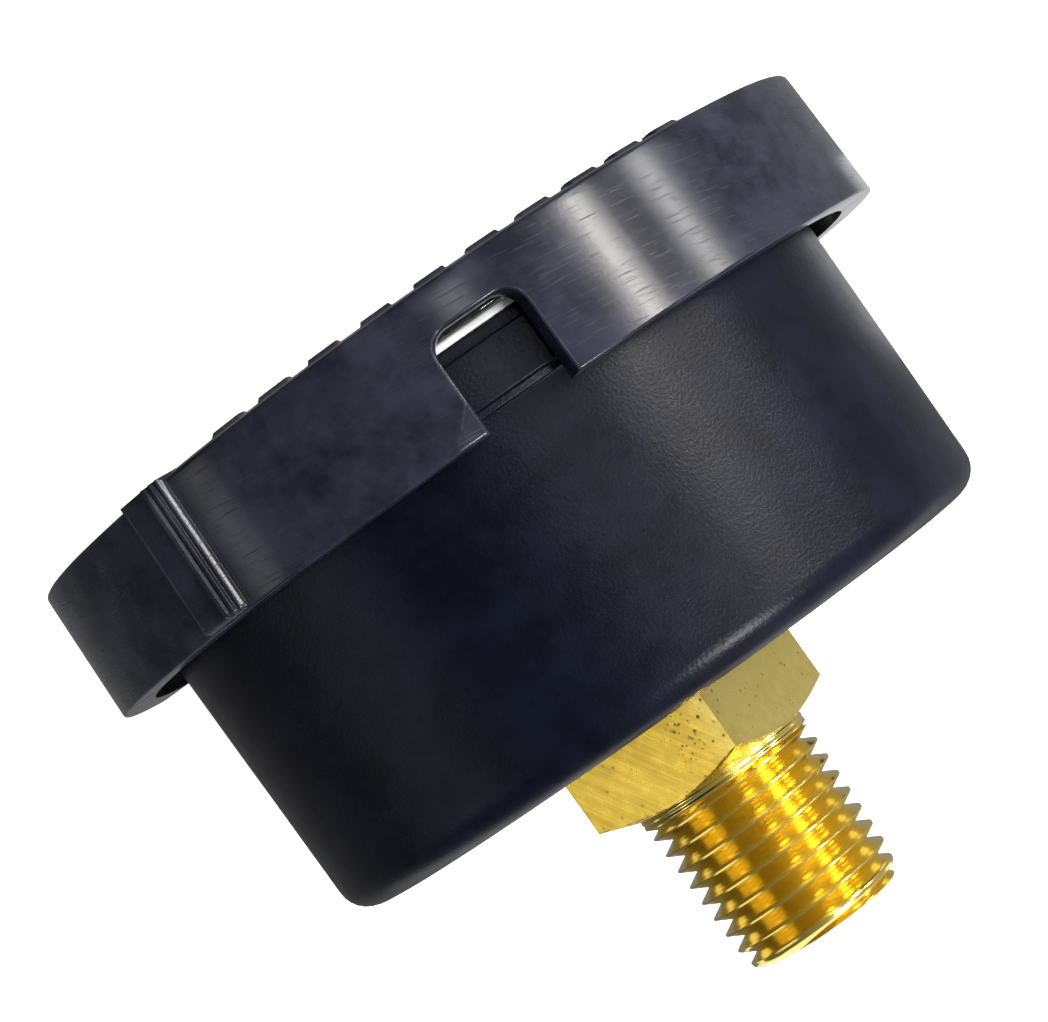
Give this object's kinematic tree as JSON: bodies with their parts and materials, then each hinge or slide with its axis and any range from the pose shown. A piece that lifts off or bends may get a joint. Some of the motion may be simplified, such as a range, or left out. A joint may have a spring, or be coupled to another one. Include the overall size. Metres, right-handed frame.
{
  "type": "pressure gauge",
  "caption": "Round dial pressure gauge with a clip-on bezel ring, straight-sided black case and a brass wrench square with tapered pipe thread at the centre of its back.",
  "frame": {"origin": "centre of the open end of the threaded stub", "axes": "+Y along the gauge axis out of the threaded end, so the dial looks to -Y; +Z to 12 o'clock on the dial; +X to 3 o'clock"},
  "size_m": [0.0648, 0.0512, 0.0647],
  "materials": {
    "case_plastic": "satin black moulded plastic with a fine grain",
    "bezel_plastic": "semi-gloss black moulded plastic",
    "lens_clear": "clear polycarbonate",
    "white_seal": "white elastomer",
    "dark_seal": "dark fibre gasket",
    "dial_enamel": "white enamel",
    "pointer_enamel": "black enamel",
    "socket_brass": "turned and milled brass",
    "movement_brass": "stamped brass",
    "spring_bronze": "phosphor bronze",
    "steel": "bright steel"
  },
  "bodies": {
    "root": {"case": "case_plastic", "socket": "socket_brass", "restrictor_screw": "socket_brass", "socket_gasket": "dark_seal", "flange_screw_1": "steel", "flange_screw_2": "steel", "bourdon_tube": "spring_bronze", "movement_rear_plate": "movement_brass", "movement_front_plate": "movement_brass", "pillar_1": "movement_brass", "pillar_2": "movement_brass", "pillar_3": "movement_brass", "pillar_screw_1": "steel", "pillar_screw_2": "steel", "pillar_screw_3": "steel", "movement_screw_1": "steel", "movement_screw_2": "steel", "hairspring": "spring_bronze", "hairspring_stud": "movement_brass", "dial_plate": "dial_enamel", "dial_post_left": "movement_brass", "dial_post_right": "movement_brass", "dial_screw_left": "steel", "dial_screw_right": "steel", "zero_stop_pin": "steel", "lens": "lens_clear", "lens_gasket": "white_seal"},
    "bezel": {"bezel_ring": "bezel_plastic"},
    "pointer_shaft": {"pointer": "pointer_enamel", "pointer_hub": "movement_brass", "pinion_arbor": "steel", "hairspring_collet": "movement_brass"},
    "sector": {"sector_gear": "movement_brass", "sector_arbor": "steel", "link_pin_tail": "steel"},
    "link": {"link_bar": "movement_brass", "link_pin_tip": "steel"},
    "tip": {"tube_tip": "movement_brass"}
  },
  "joints": [
    {"name": "bezel_turn", "type": "hinge", "parent": "root", "child": "bezel", "pos_m": [0, -0.045, 0], "axis": [0, 1, 0], "continuous": true},
    {"name": "pointer_turn", "type": "hinge", "parent": "root", "child": "pointer_shaft", "pos_m": [0, -0.045, 0], "axis": [0, 1, 0], "range_deg": [0, 270], "stiffness_Nm_per_rad": 0.0008, "springref_deg": -8.59, "deforming": ["hairspring"]},
    {"name": "sector_turn", "type": "hinge", "parent": "root", "child": "sector", "pos_m": [0.00562, -0.0386, -0.00974], "axis": [0, 1, 0], "range_deg": [-33.75, 0]},
    {"name": "link_swing", "type": "hinge", "parent": "sector", "child": "link", "pos_m": [0.00798, -0.0394, -0.01415], "axis": [0, 1, 0], "range_deg": [0, 30.72]},
    {"name": "tip_flex", "type": "hinge", "parent": "root", "child": "tip", "pos_m": [-0.0008, -0.031, 0.0115], "axis": [0, 1, 0], "range_deg": [-7.93, 0], "deforming": ["bourdon_tube"]}
  ],
  "couplings": [
    {"joint": "sector_turn", "follows": "pointer_turn", "ratio": -0.125},
    {"joint": "link_swing", "follows": "pointer_turn", "ratio": 0.11377},
    {"joint": "tip_flex", "follows": "pointer_turn", "ratio": -0.029349}
  ]
}
